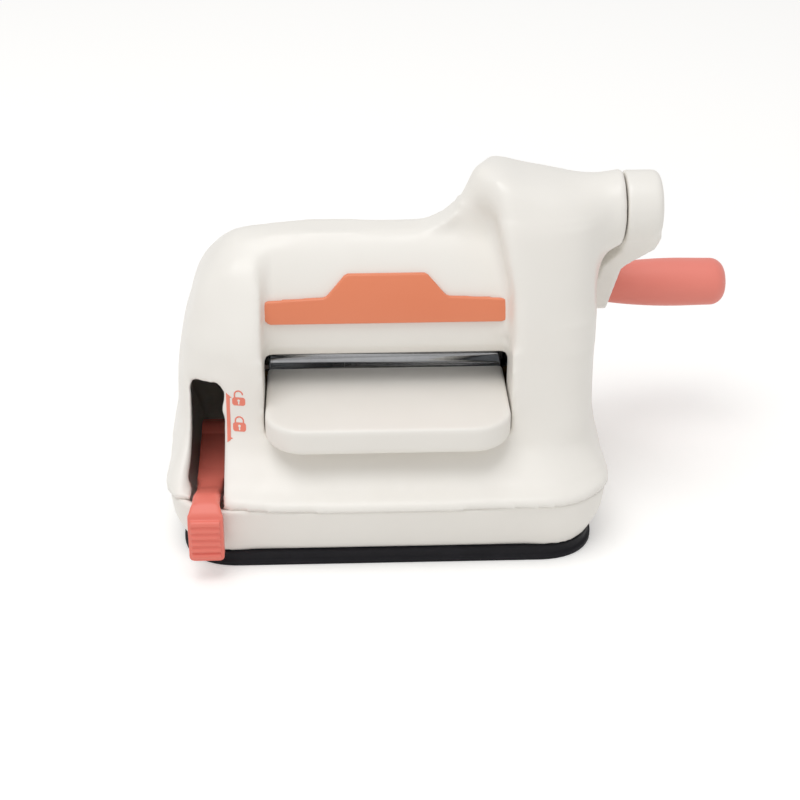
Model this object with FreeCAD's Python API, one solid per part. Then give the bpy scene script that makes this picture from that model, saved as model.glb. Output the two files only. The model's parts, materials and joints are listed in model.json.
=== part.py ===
import FreeCAD, Part
import math
import os

# Hand-cranked die cutting machine on a suction base.
# Millimetres. Origin: centre of the suction pad's underside, on the table.
# +X points to the crank, -Y to the front where the work is fed in, +Z up.

# Suction pad and base tray
pad_half_width = 64.5
pad_half_depth = 50.5
pad_height = 4.6
pad_squareness = 8.0
diaphragm = 2.0
pad_pocket_radius = 20.0
tray_inset = 2.0
tray_floor = 2.5
stem_hole_radius = 18.0

# Moulded housing
body_half_width = 69.0
body_half_depth = 53.0
body_squareness = 4.0
seam_z = 20.5
seam_step = 0.5
lip = 1.4
wall = 2.2
waist_z = 44.0
waist_half_depth = 33.0
waist_half_width = 65.8
flare_power = 2.2
roof_z = 92.0
roof_rise = 1.6
roof_left = -38.0
ridge_half_depth = 3.5
tower_left = 4.0
tower_right = 65.4
tower_foot_z = 34.0
tower_foot_half_depth = 35.5
tower_shoulder_z = 84.0
tower_shoulder_half_depth = 25.5
tower_top_half_depth = 11.5
tower_squareness = 5.0
crest_x = 29.5
crest_z = 114.0
crest_round = 3.6
crest_lean = 5.3
sweep_radius = 24.0
tower_slope_end_x = 54.0
tower_roof_z = 109.0
hub_end_x = 73.7
hub_radius = 11.3
nose_drop = 23.0
nose_swell = 4.2

# Feed opening between the housing's two sides
feed_half_width = 38.0
bed_z = 45.2
bed_thickness = 9.0
bed_front = 46.0
bed_rear = 6.5
bed_corner = 12.0
bed_clearance = 0.4
bed_under_round = 2.4
bed_top_round = 1.2
lip_z = 55.4
lip_half_depth = 17.0
brow_z = 59.0
brow_half_depth = 19.0
face_mid_z = 80.0
face_mid_half_depth = 14.5
face_top_half_depth = 5.0

# Trim plate on the front face
trim_thickness = 1.6
trim_half_width = 37.6
trim_bottom_z = 67.8
trim_side_z = 75.6
trim_top_z = 82.0
trim_plateau_half_width = 12.5
trim_ramp = 6.0
trim_corner = 2.6

# Side frames
frame_x = 40.7
frame_thickness = 2.4
frame_half_depth = 21.0
frame_top_z = 82.5
frame_neck_half_depth = 7.0
frame_corner = 5.0
tie_radius = 2.5
tie_half_spacing = 18.0
tie_z = 13.0
top_tie_z = 78.4

# Rollers and gears
roller_radius = 10.0
roller_half_length = 37.2
roller_proud = 0.3
journal_radius = 5.0
bush_radius = 7.5
bush_flange_radius = 9.0
bush_flange = 0.8
module = 1.5
roller_teeth = 20
drive_teeth = 30
pinion_teeth = 12
pressure_angle = 25.0
addendum_share = 0.8
dedendum_share = 1.05
backlash = 0.2
gear_width = 6.0
gear_gap = 1.0
cover_thickness = 2.0
post_radius = 2.0
post_half_spacing = 17.5
post_upper_z = 46.0
post_lower_z = 24.0

# Crank
crank_shaft_radius = 4.0
crank_bush_wall = 2.5
crank_length = 57.0
crank_angle = 51.0
cap_gap = 0.3
cap_length = 11.2
cap_round = 2.5
arm_thickness = 7.4
arm_end_radius = 8.4
arm_end_x = 69.2
spindle_radius = 3.0
grip_length = 40.0
grip_root_radius = 6.6
grip_radius = 8.2
grip_end_round = 5.0
grip_gap = 0.4

# Suction lever and its cam
lever_x = -55.0
lever_width = 9.8
lever_slot_clearance = 0.6
lever_slot_top_z = 55.5
lever_slot_depth = 10.0
lever_slot_round = 2.5
lever_axis_z = 15.0
lever_hub_radius = 6.5
lever_shaft_radius = 3.0
lever_arm_top_z = 32.3
lever_arm_depth = 8.0
lever_pad_front = 57.5
lever_pad_thickness = 4.0
lever_pad_bottom_z = 6.8
lever_ridges = 6
lever_ridge_height = 0.7
lever_swing = 26.0
cam_radius = 6.5
cam_throw = 3.0
cam_width = 8.0
cam_clearance = 0.35
yoke_bar = 2.0
stem_plate_radius = 16.0
stem_plate_thickness = 1.8
stem_plate_z = 3.6
bracket_x = 9.0
bracket_width = 4.0

# Fits
running_fit = 0.06
side_fit = 0.3

# Places worked out from the sizes above
floor_z = pad_height + tray_floor
bed_bottom_z = bed_z - bed_thickness
roller_centres = module * roller_teeth
lower_axis_z = bed_z + roller_proud - roller_radius
upper_axis_z = lower_axis_z + roller_centres
crank_axis_z = upper_axis_z + module * (drive_teeth + pinion_teeth) / 2
drive_x = frame_x + frame_thickness + gear_gap
roller_gear_x = drive_x + gear_width + gear_gap
cover_x = roller_gear_x + gear_width + gear_gap
cap_x = hub_end_x + cap_gap
cap_end_x = cap_x + cap_length
arm_outer_x = arm_end_x + arm_thickness
grip_x = arm_outer_x + grip_gap
grip_y = crank_length * math.cos(math.radians(crank_angle))
grip_z = crank_axis_z - crank_length * math.sin(math.radians(crank_angle))


def vec(x, y, z):
    return FreeCAD.Vector(x, y, z)


def x_rod(x0, x1, y, z, radius):
    return Part.makeCylinder(radius, x1 - x0, vec(x0, y, z), vec(1, 0, 0))


def block(x0, x1, y0, y1, z0, z1):
    return Part.makeBox(x1 - x0, y1 - y0, z1 - z0, vec(x0, y0, z0))


def rounded_wire(corners):
    """Closed outline through corners given as (point, corner radius)."""
    ends = []
    for i, (point, radius) in enumerate(corners):
        if radius == 0:
            ends.append((point, None, point))
            continue
        to_last = (corners[i - 1][0] - point).normalize()
        to_next = (corners[(i + 1) % len(corners)][0] - point).normalize()
        half = to_last.getAngle(to_next) / 2
        reach = radius / math.tan(half)
        middle = point + (to_last + to_next).normalize() * (radius / math.sin(half) - radius)
        ends.append((point + to_last * reach, middle, point + to_next * reach))
    edges = []
    for i, (start, middle, stop) in enumerate(ends):
        if middle is not None:
            edges.append(Part.Arc(start, middle, stop).toShape())
        following = ends[(i + 1) % len(ends)][0]
        if stop.distanceToPoint(following) > 1e-4:
            edges.append(Part.makeLine(stop, following))
    return Part.Wire(edges)


def x_prism(corners, x0, x1):
    """Outline of (y, z, radius) corners pushed along X."""
    wire = rounded_wire([(vec(x0, y, z), radius) for y, z, radius in corners])
    return Part.Face(wire).extrude(vec(x1 - x0, 0, 0))


def y_prism(corners, y0, y1):
    """Outline of (x, z, radius) corners pushed along Y."""
    wire = rounded_wire([(vec(x, y0, z), radius) for x, z, radius in corners])
    return Part.Face(wire).extrude(vec(0, y1 - y0, 0))


def z_prism(corners, z0, z1):
    """Outline of (x, y, radius) corners pushed along Z."""
    wire = rounded_wire([(vec(x, y, z0), radius) for x, y, radius in corners])
    return Part.Face(wire).extrude(vec(0, 0, z1 - z0))


def rear(shape):
    return shape.mirror(vec(0, 0, 0), vec(0, 1, 0))


def slice_wire(z, left, right, half_depth, squareness):
    """One level outline of the body: a superellipse through evenly turned rays."""
    middle = (left + right) / 2
    half_width = (right - left) / 2
    count = 40
    points = []
    for i in range(count):
        turn = 2 * math.pi * (i + 0.5) / count
        across = abs(math.cos(turn) / half_width) ** squareness
        along = abs(math.sin(turn) / half_depth) ** squareness
        reach = (across + along) ** (-1 / squareness)
        points.append(vec(middle + reach * math.cos(turn), reach * math.sin(turn), z))
    curve = Part.BSplineCurve()
    curve.interpolate(points, PeriodicFlag=True)
    return Part.Wire([curve.toShape()])


def flared(share, foot, waist):
    """Half size of the deck at a share of its height, sweeping in from the foot."""
    return waist + (foot - waist) * (1 - share) ** flare_power


def make_suction_pad():
    foot = slice_wire(0, -pad_half_width, pad_half_width, pad_half_depth, pad_squareness)
    top = slice_wire(pad_height, -pad_half_width, pad_half_width, pad_half_depth, pad_squareness)
    pad = Part.makeLoft([foot, top], True, True)
    pocket = Part.makeCylinder(pad_pocket_radius, pad_height, vec(0, 0, diaphragm))
    return pad.cut(pocket)


def tray_block(inset, bottom_z):
    foot_width = pad_half_width - tray_inset - inset
    foot_depth = pad_half_depth - tray_inset - inset
    rim_width = body_half_width - seam_step - inset
    rim_depth = body_half_depth - seam_step - inset
    foot = slice_wire(bottom_z, -foot_width, foot_width, foot_depth, pad_squareness)
    rim = slice_wire(seam_z, -rim_width, rim_width, rim_depth, body_squareness)
    return Part.makeLoft([foot, rim], True, True)


def make_base_tray():
    tray = tray_block(0, pad_height).cut(tray_block(wall, floor_z))
    return tray.cut(Part.makeCylinder(stem_hole_radius, floor_z, vec(0, 0, 0)))


def main_mass(inset):
    """Deck, left shoulder and bridge of the housing, inset for the hollow."""
    deck_z = seam_z + lip
    slices = []
    for z in (seam_z - inset, deck_z - inset):
        half_width = body_half_width - inset
        slices.append(slice_wire(z, -half_width, half_width, body_half_depth - inset, body_squareness))
    for share in (0.1, 0.28, 0.55):
        z = deck_z + share * (waist_z - deck_z) - inset
        half_width = flared(share, body_half_width, waist_half_width) - inset
        half_depth = flared(share, body_half_depth, waist_half_depth) - inset
        slices.append(slice_wire(z, -half_width, half_width, half_depth, body_squareness))
    for share in (0, 0.3, 0.55, 0.75, 0.9, 1):
        z = waist_z + share * (roof_z - inset - waist_z)
        left = roof_left + inset - (waist_half_width + roof_left) * (1 - share ** 2) ** 0.67
        half_depth = waist_half_depth * (1 - share ** 2.2) ** 0.59 - inset
        half_depth = max(half_depth, ridge_half_depth)
        slices.append(slice_wire(z, left, waist_half_width - inset, half_depth, body_squareness))
    return Part.makeLoft(slices, True, False)


def roof_prism(inset):
    """Everything under the front-view outline of bridge, sweep and tower."""
    corners = [
        (tower_left, seam_z, 0),
        (tower_left, roof_z - roof_rise - inset, 0),
        (crest_x - crest_lean, roof_z + roof_rise - inset, sweep_radius),
        (crest_x + inset, crest_z - inset, crest_round),
        (tower_slope_end_x, tower_roof_z - inset, sweep_radius),
        (hub_end_x, tower_roof_z - inset, 0),
        (hub_end_x, seam_z, 0),
    ]
    return y_prism(corners, -body_half_depth, body_half_depth)


def tower_mass(inset):
    levels = (
        (tower_foot_z, tower_foot_half_depth),
        ((tower_foot_z + tower_shoulder_z) / 2, (tower_foot_half_depth + tower_shoulder_half_depth) / 2),
        (tower_shoulder_z, tower_shoulder_half_depth),
        (crest_z, tower_top_half_depth),
    )
    slices = []
    for z, half_depth in levels:
        left = tower_left + inset
        slices.append(slice_wire(z, left, tower_right - inset, half_depth - inset, tower_squareness))
    return Part.makeLoft(slices, True, False).common(roof_prism(inset))


def hub_nose(end_x, inset):
    """Boss that grows out of the tower's flank and narrows to the round crank hub."""
    top = crank_axis_z + hub_radius - inset
    bottom = crank_axis_z - hub_radius + inset
    neck = hub_end_x - tower_right
    slices = []
    for share in (-0.9, -0.2, 0.1, 0.45, 1):
        x = tower_right + share * neck
        left_to_go = (1 - share) / 1.9
        drop = nose_drop * left_to_go ** 1.6
        swell = nose_swell * left_to_go ** 1.6
        half_height = (top - bottom + drop) / 2
        middle = (top + bottom - drop) / 2
        points = []
        for i in range(20):
            turn = 2 * math.pi * i / 20
            y = (hub_radius - inset + swell) * math.cos(turn)
            points.append(vec(min(x, end_x), y, middle + half_height * math.sin(turn)))
        curve = Part.BSplineCurve()
        curve.interpolate(points, PeriodicFlag=True)
        slices.append(Part.Wire([curve.toShape()]))
    return Part.makeLoft(slices, True, False)


def face_arc(inset):
    """Hollowed front face above the feed slot, as an arc in the YZ plane."""
    start = vec(0, -brow_half_depth + inset, brow_z)
    middle = vec(0, -face_mid_half_depth + inset, face_mid_z)
    stop = vec(0, -face_top_half_depth + inset * 0.7, roof_z - inset * 0.7)
    return Part.Arc(start, middle, stop).toShape()


def feed_recess(inset):
    """Space in front of the bridge between the shoulder and the tower; grown by the inset."""
    arc = face_arc(inset)
    start = arc.Vertexes[0].Point
    stop = arc.Vertexes[-1].Point
    front = -body_half_depth - 10
    top = crest_z + 10
    points = [
        stop,
        vec(0, stop.y, top),
        vec(0, front, top),
        vec(0, front, bed_bottom_z - inset),
        vec(0, -lip_half_depth + inset, bed_bottom_z - inset),
        vec(0, -lip_half_depth + inset, lip_z),
        start,
    ]
    edges = [arc]
    for a, b in zip(points, points[1:]):
        edges.append(Part.makeLine(a, b))
    left = -feed_half_width - inset
    right = feed_half_width + inset
    profile = Part.Face(Part.Wire(edges)).extrude(vec(2 * right, 0, 0))
    profile.translate(vec(left, 0, 0))
    side_view = [
        (left, seam_z, 0),
        (left, top, 0),
        (crest_x + 1.5 + inset, top, 0),
        (crest_x + 1.5 + inset, crest_z - 2, 12),
        (right, tower_shoulder_z - 6, 12),
        (right, seam_z, 0),
    ]
    return profile.common(y_prism(side_view, front, 0))


def make_top_housing():
    outer = main_mass(0).fuse(tower_mass(0)).fuse(hub_nose(hub_end_x, 0))
    hollow = main_mass(wall).fuse(tower_mass(wall))
    grown = feed_recess(wall)
    hollow = hollow.cut(grown).cut(rear(grown))
    recess = feed_recess(0)
    housing = outer.cut(recess).cut(rear(recess)).cut(hollow)
    depth = body_half_depth
    slot = block(-feed_half_width, feed_half_width, -depth, depth, bed_bottom_z, lip_z)
    housing = housing.cut(slot)
    half = lever_width / 2 + lever_slot_clearance
    lever_slot = [
        (lever_x - half, seam_z, 0),
        (lever_x - half, lever_slot_top_z, lever_slot_round),
        (lever_x + half, lever_slot_top_z, lever_slot_round),
        (lever_x + half, seam_z, 0),
    ]
    housing = housing.cut(y_prism(lever_slot, -depth, -lever_slot_depth))
    bore = x_rod(tower_right - 6, hub_end_x - wall, 0, crank_axis_z, hub_radius - wall)
    housing = housing.cut(bore)
    bush_hole = x_rod(tower_right, hub_end_x, 0, crank_axis_z, crank_shaft_radius + crank_bush_wall)
    return housing.cut(bush_hole)


def make_crank_bush():
    x0 = hub_end_x - 2 * wall
    outer = x_rod(x0, hub_end_x, 0, crank_axis_z, crank_shaft_radius + crank_bush_wall)
    return outer.cut(x_rod(x0, hub_end_x, 0, crank_axis_z, crank_shaft_radius + running_fit))


def make_front_trim():
    """Curved plate on the front face, raised in the middle."""
    inner = face_arc(0)
    outer = face_arc(-trim_thickness)
    a = outer.Vertexes[0].Point
    b = outer.Vertexes[-1].Point
    c = inner.Vertexes[-1].Point
    d = inner.Vertexes[0].Point
    wire = Part.Wire([outer, Part.makeLine(b, c), inner, Part.makeLine(d, a)])
    sheet = Part.Face(wire).extrude(vec(2 * trim_half_width, 0, 0))
    sheet.translate(vec(-trim_half_width, 0, 0))
    knee = trim_plateau_half_width + trim_ramp
    outline = [
        (-trim_half_width, trim_bottom_z, trim_corner),
        (-trim_half_width, trim_side_z - 1, 0.6),
        (-knee, trim_side_z, trim_corner),
        (-trim_plateau_half_width, trim_top_z, trim_corner),
        (trim_plateau_half_width, trim_top_z, trim_corner),
        (knee, trim_side_z, trim_corner),
        (trim_half_width, trim_side_z - 1, 0.6),
        (trim_half_width, trim_bottom_z, trim_corner),
    ]
    return sheet.common(y_prism(outline, -body_half_depth, 0))


def make_front_platform():
    """Bed slab that carries the work up to the lower roller."""
    half = feed_half_width - bed_clearance
    corners = [
        (-half, -bed_rear, 0),
        (-half, -bed_front, bed_corner),
        (half, -bed_front, bed_corner),
        (half, -bed_rear, 0),
    ]
    slab = z_prism(corners, bed_bottom_z, bed_z)
    for level, radius in ((bed_bottom_z, bed_under_round), (bed_z, bed_top_round)):
        rim = []
        for edge in slab.Edges:
            box = edge.BoundBox
            if abs(box.Center.z - level) < 0.01 and box.YMax < -bed_front + bed_corner + 0.1:
                rim.append(edge)
        slab = slab.makeFillet(radius, rim)
    return slab.cut(x_rod(-half, half, 0, lower_axis_z, roller_radius + side_fit))


def frame_outline(top_z):
    neck = frame_neck_half_depth
    return [
        (-frame_half_depth, floor_z, 0),
        (-frame_half_depth, bed_z, frame_corner),
        (-neck, top_z, frame_corner),
        (neck, top_z, frame_corner),
        (frame_half_depth, bed_z, frame_corner),
        (frame_half_depth, floor_z, 0),
    ]


def pierced(plate, x0, x1):
    """Bush seats and tie rod holes that both side frames share."""
    for z in (lower_axis_z, upper_axis_z):
        plate = plate.cut(x_rod(x0, x1, 0, z, bush_radius))
    for y in (-tie_half_spacing, tie_half_spacing):
        plate = plate.cut(x_rod(x0, x1, y, tie_z, tie_radius))
    return plate.cut(x_rod(x0, x1, 0, top_tie_z, tie_radius))


def make_left_frame():
    x0 = -frame_x - frame_thickness
    plate = x_prism(frame_outline(frame_top_z), x0, -frame_x)
    plate = pierced(plate, x0, -frame_x)
    return plate.cut(x_rod(x0, -frame_x, 0, lever_axis_z, lever_shaft_radius + running_fit))


def make_right_frame():
    x1 = frame_x + frame_thickness
    plate = x_prism(frame_outline(crank_axis_z + 2 * crank_shaft_radius), frame_x, x1)
    plate = pierced(plate, frame_x, x1)
    for y in (-post_half_spacing, post_half_spacing):
        for z in (post_lower_z, post_upper_z):
            plate = plate.cut(x_rod(frame_x, x1, y, z, post_radius))
    return plate.cut(x_rod(frame_x, x1, 0, crank_axis_z, crank_shaft_radius + running_fit))


def make_gear_cover():
    x1 = cover_x + cover_thickness
    reach = post_half_spacing + 2 * post_radius
    corners = [
        (-reach, post_lower_z - 2 * post_radius, 3),
        (-reach, post_upper_z + 2 * post_radius, 6),
        (-frame_neck_half_depth, upper_axis_z + 2 * journal_radius, 5),
        (frame_neck_half_depth, upper_axis_z + 2 * journal_radius, 5),
        (reach, post_upper_z + 2 * post_radius, 6),
        (reach, post_lower_z - 2 * post_radius, 3),
    ]
    plate = x_prism(corners, cover_x, x1)
    for z in (lower_axis_z, upper_axis_z):
        plate = plate.cut(x_rod(cover_x, x1, 0, z, journal_radius + running_fit))
    for y in (-post_half_spacing, post_half_spacing):
        for z in (post_lower_z, post_upper_z):
            plate = plate.cut(x_rod(cover_x, x1, y, z, post_radius))
    return plate


def make_bush(side, z):
    """Flanged bush pressed into a side frame from the outside."""
    inner = side * frame_x
    outer = side * (frame_x + frame_thickness)
    flange_end = outer + side * bush_flange
    body = x_rod(min(inner, outer), max(inner, outer), 0, z, bush_radius)
    flange = x_rod(min(outer, flange_end), max(outer, flange_end), 0, z, bush_flange_radius)
    bore = x_rod(min(inner, flange_end), max(inner, flange_end), 0, z, journal_radius + running_fit)
    return body.fuse(flange).removeSplitter().cut(bore)


def make_roller(z):
    body = x_rod(-roller_half_length, roller_half_length, 0, z, roller_radius)
    ends = [e for e in body.Edges if e.Curve.TypeId == "Part::GeomCircle"]
    body = body.makeChamfer(0.6, ends)
    left = -frame_x - frame_thickness - bush_flange
    return body.fuse(x_rod(left, cover_x + cover_thickness, 0, z, journal_radius))


def involute_turn(base_radius, radius):
    """Angle that an involute has swung through at a radius."""
    swing = math.acos(min(base_radius / radius, 1))
    return math.tan(swing) - swing


def make_gear(x, z, teeth, bore, tooth_angle):
    """Spur gear about an X axis with one tooth centred at tooth_angle from +Y towards +Z."""
    pitch = module * teeth / 2
    base = pitch * math.cos(math.radians(pressure_angle))
    tip = pitch + addendum_share * module
    root = pitch - dedendum_share * module
    foot = max(base, root)
    half_pitch_tooth = (math.pi * module / 2 - backlash) / (2 * pitch)
    half_base_tooth = half_pitch_tooth + involute_turn(base, pitch)

    def at(radius, angle):
        return vec(x, radius * math.cos(angle), z + radius * math.sin(angle))

    def flank(centre, side, radius):
        return at(radius, centre + side * (half_base_tooth - involute_turn(base, radius)))

    edges = []
    last = None
    for i in range(teeth + 1):
        centre = math.radians(tooth_angle) + 2 * math.pi * i / teeth
        half_foot = half_base_tooth - involute_turn(base, foot)
        root_start = at(root, centre - half_foot)
        root_stop = at(root, centre + half_foot)
        if last is not None:
            edges.append(Part.makeLine(last, root_start))
        if i == teeth:
            break
        radii = (foot, (foot + tip) / 2, tip)
        rising = [flank(centre, -1, radius) for radius in radii]
        falling = [flank(centre, 1, radius) for radius in reversed(radii)]
        if foot > root:
            edges.append(Part.makeLine(root_start, rising[0]))
        edges.append(Part.Arc(*rising).toShape())
        edges.append(Part.makeLine(rising[2], falling[0]))
        edges.append(Part.Arc(*falling).toShape())
        if foot > root:
            edges.append(Part.makeLine(falling[2], root_stop))
        last = root_stop
    gear = Part.Face(Part.Wire(edges)).extrude(vec(gear_width, 0, 0))
    return gear.cut(x_rod(x, x + gear_width, 0, z, bore))


def crank_turned(shape):
    """Turns a crank built along -Z to its resting angle, back and down."""
    turned = shape.copy()
    turned.rotate(vec(0, 0, crank_axis_z), vec(1, 0, 0), 90 - crank_angle)
    return turned


def make_crank_arm():
    """Round cap and a tapered arm that curves in beside the housing's flank."""
    low = crank_axis_z - crank_length - arm_end_radius
    bend = crank_axis_z - 2.1 * hub_radius
    neck = crank_axis_z - hub_radius
    outer_end = [
        (cap_x, crank_axis_z, 0),
        (cap_end_x, crank_axis_z, 0),
        (cap_end_x, neck + 2, 9),
        (arm_outer_x, bend, 12),
        (arm_outer_x, low, 0),
        (arm_end_x, low, 0),
        (arm_end_x + 0.5, bend, 9),
        (cap_x, neck, 5),
    ]
    side_view = y_prism(outer_end, -hub_radius, hub_radius)
    hub_half = hub_radius - 0.4
    outline = [
        (-hub_half, crank_axis_z, 0),
        (-arm_end_radius, low, arm_end_radius - 0.1),
        (arm_end_radius, low, arm_end_radius - 0.1),
        (hub_half, crank_axis_z, 0),
    ]
    arm = side_view.common(x_prism(outline, arm_end_x, cap_end_x))
    cap = x_rod(cap_x, cap_end_x, 0, crank_axis_z, hub_radius)
    rim = [e for e in cap.Edges if e.BoundBox.XMin > cap_end_x - 0.1]
    cap = cap.makeFillet(cap_round, rim)
    crank = cap.fuse(arm).removeSplitter()
    crank = crank.cut(x_rod(cap_x, cap_end_x - 2 * wall, 0, crank_axis_z, crank_shaft_radius))
    pivot_z = crank_axis_z - crank_length
    crank = crank.cut(x_rod(arm_end_x, arm_outer_x, 0, pivot_z, spindle_radius))
    return crank_turned(crank)


def make_crank_shaft():
    return x_rod(frame_x, cap_end_x - 2 * wall, 0, crank_axis_z, crank_shaft_radius)


def make_handle_spindle():
    stop = grip_x + grip_length - 2 * grip_end_round
    return x_rod(arm_end_x, stop, grip_y, grip_z, spindle_radius)


def make_handle_grip():
    """Turned grip, swelling towards its rounded outer end."""
    end = grip_x + grip_length
    widest = grip_x + 0.62 * grip_length
    swell = Part.Arc(
        vec(grip_x, 0, grip_root_radius),
        vec((grip_x + widest) / 2, 0, grip_radius - 0.35),
        vec(widest, 0, grip_radius),
    )
    nose_x = end - grip_end_round
    nose_mid = grip_end_round * math.sin(math.radians(45))
    nose = Part.Arc(
        vec(nose_x, 0, grip_radius - 0.2),
        vec(nose_x + nose_mid, 0, grip_radius - 0.2 - grip_end_round + nose_mid),
        vec(end, 0, grip_radius - 0.2 - grip_end_round),
    )
    edges = [
        swell.toShape(),
        Part.makeLine(vec(widest, 0, grip_radius), vec(nose_x, 0, grip_radius - 0.2)),
        nose.toShape(),
        Part.makeLine(vec(end, 0, grip_radius - 0.2 - grip_end_round), vec(end, 0, 0)),
        Part.makeLine(vec(end, 0, 0), vec(grip_x, 0, 0)),
        Part.makeLine(vec(grip_x, 0, 0), vec(grip_x, 0, grip_root_radius)),
    ]
    grip = Part.Face(Part.Wire(edges)).revolve(vec(0, 0, 0), vec(1, 0, 0), 360)
    grip.translate(vec(0, grip_y, grip_z))
    stop = grip_x + grip_length - 2 * grip_end_round + side_fit
    return grip.cut(x_rod(grip_x, stop, grip_y, grip_z, spindle_radius + running_fit))


def make_suction_lever():
    """Hooked lever with a ridged thumb pad that hangs in front of the tray."""
    arm_under = lever_arm_top_z - lever_arm_depth
    pad_rear = -lever_pad_front + lever_pad_thickness
    corners = [
        (lever_hub_radius - 1, lever_axis_z + 2, 4),
        (-lever_hub_radius, lever_axis_z + lever_hub_radius + 3, 8),
        (-0.6 * lever_pad_front, lever_arm_top_z, 14),
        (-lever_pad_front, lever_arm_top_z, 5),
        (-lever_pad_front, lever_pad_bottom_z, 1.8),
        (pad_rear, lever_pad_bottom_z, 1.8),
        (pad_rear, arm_under, 3),
        (-0.55 * lever_pad_front, arm_under, 12),
        (-lever_hub_radius, lever_axis_z - lever_hub_radius + 1, 4),
        (lever_hub_radius - 1, lever_axis_z - lever_hub_radius + 1, 4),
    ]
    x0 = lever_x - lever_width / 2
    x1 = lever_x + lever_width / 2
    lever = x_prism(corners, x0, x1)
    lever = lever.fuse(x_rod(x0, x1, 0, lever_axis_z, lever_hub_radius)).removeSplitter()
    pad_height_seen = arm_under - lever_pad_bottom_z
    pitch = pad_height_seen / (lever_ridges + 1)
    for i in range(lever_ridges):
        z = lever_pad_bottom_z + (i + 1.2) * pitch
        ridge = Part.makeCylinder(
            lever_ridge_height, lever_width - 2, vec(x0 + 1, -lever_pad_front, z), vec(1, 0, 0)
        )
        lever = lever.fuse(ridge)
    return lever.cut(x_rod(x0, x1, 0, lever_axis_z, lever_shaft_radius))


def make_lever_shaft():
    x0 = lever_x - lever_width / 2
    x1 = bracket_x + bracket_width
    return x_rod(x0, x1, 0, lever_axis_z, lever_shaft_radius)


def cam_centre():
    """Cam's centre in the locked pose: to the rear of the shaft and raised by half the swing."""
    half = math.radians(lever_swing / 2)
    return cam_throw * math.cos(half), lever_axis_z + cam_throw * math.sin(half)


def make_eccentric_cam():
    y, z = cam_centre()
    cam = x_rod(-cam_width / 2, cam_width / 2, y, z, cam_radius)
    return cam.cut(x_rod(-cam_width / 2, cam_width / 2, 0, lever_axis_z, lever_shaft_radius))


def make_pull_stem():
    """Yoke round the cam with a neck down to the stem plate."""
    z = cam_centre()[1]
    reach = cam_radius + cam_clearance
    side = reach + cam_throw
    half_width = cam_width / 2 - 1
    wide = side + yoke_bar
    tall = reach + yoke_bar
    outer = block(-half_width, half_width, -wide, wide, z - tall, z + tall)
    window = block(-half_width, half_width, -side, side, z - reach, z + reach)
    plate_top = stem_plate_z + stem_plate_thickness
    neck = Part.makeCylinder(half_width, z - reach - plate_top, vec(0, 0, plate_top))
    return outer.cut(window).fuse(neck).removeSplitter()


def make_stem_plate():
    return Part.makeCylinder(stem_plate_radius, stem_plate_thickness, vec(0, 0, stem_plate_z))


def make_lever_bracket():
    """Pillow block on the tray floor for the inner end of the lever shaft."""
    top = lever_axis_z + 2 * lever_shaft_radius
    half = 3 * lever_shaft_radius
    corners = [
        (-half, floor_z, 0),
        (-half, top, half - 1),
        (half, top, half - 1),
        (half, floor_z, 0),
    ]
    foot_y = stem_hole_radius + 6
    x1 = bracket_x + bracket_width
    pillar = x_prism(corners, bracket_x, x1)
    foot = block(bracket_x, x1, -foot_y, foot_y, floor_z, floor_z + 2)
    bore = x_rod(bracket_x, x1, 0, lever_axis_z, lever_shaft_radius + running_fit)
    return pillar.fuse(foot).removeSplitter().cut(bore)


def make_parts():
    half_roller_pitch = 180 / roller_teeth
    half_pinion_pitch = 180 / pinion_teeth
    parts = {
        "suction_pad": make_suction_pad(),
        "base_tray": make_base_tray(),
        "top_housing": make_top_housing(),
        "crank_bush": make_crank_bush(),
        "front_trim": make_front_trim(),
        "front_platform": make_front_platform(),
        "rear_platform": rear(make_front_platform()),
        "left_side_frame": make_left_frame(),
        "right_side_frame": make_right_frame(),
        "gear_cover_plate": make_gear_cover(),
        "upper_left_bush": make_bush(-1, upper_axis_z),
        "upper_right_bush": make_bush(1, upper_axis_z),
        "lower_left_bush": make_bush(-1, lower_axis_z),
        "lower_right_bush": make_bush(1, lower_axis_z),
        "upper_roller": make_roller(upper_axis_z),
        "lower_roller": make_roller(lower_axis_z),
        "upper_roller_gear": make_gear(roller_gear_x, upper_axis_z, roller_teeth, journal_radius, -90),
        "lower_roller_gear": make_gear(
            roller_gear_x, lower_axis_z, roller_teeth, journal_radius, 90 + half_roller_pitch
        ),
        "drive_gear": make_gear(drive_x, upper_axis_z, drive_teeth, journal_radius, 90),
        "crank_pinion": make_gear(
            drive_x, crank_axis_z, pinion_teeth, crank_shaft_radius, -90 + half_pinion_pitch
        ),
        "crank_shaft": make_crank_shaft(),
        "crank_arm": make_crank_arm(),
        "handle_spindle": make_handle_spindle(),
        "handle_grip": make_handle_grip(),
        "suction_lever": make_suction_lever(),
        "lever_shaft": make_lever_shaft(),
        "eccentric_cam": make_eccentric_cam(),
        "lever_bracket": make_lever_bracket(),
        "pull_stem": make_pull_stem(),
        "stem_plate": make_stem_plate(),
    }
    outer = frame_x + frame_thickness
    for name, y, z in (
        ("front_tie_rod", -tie_half_spacing, tie_z),
        ("rear_tie_rod", tie_half_spacing, tie_z),
        ("top_tie_rod", 0, top_tie_z),
    ):
        parts[name] = x_rod(-outer, outer, y, z, tie_radius)
    for row, z in (("lower", post_lower_z), ("upper", post_upper_z)):
        for side, y in (("front", -post_half_spacing), ("rear", post_half_spacing)):
            parts[f"{row}_{side}_post"] = x_rod(frame_x, cover_x + cover_thickness, y, z, post_radius)
    return parts


os.makedirs("parts", exist_ok=True)
for name, shape in make_parts().items():
    solids = shape.Solids
    print(name, len(solids), shape.isValid(), round(shape.Volume, 1))
    solid = solids[0] if len(solids) == 1 else shape
    solid.exportStep(f"parts/{name}.step")
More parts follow.
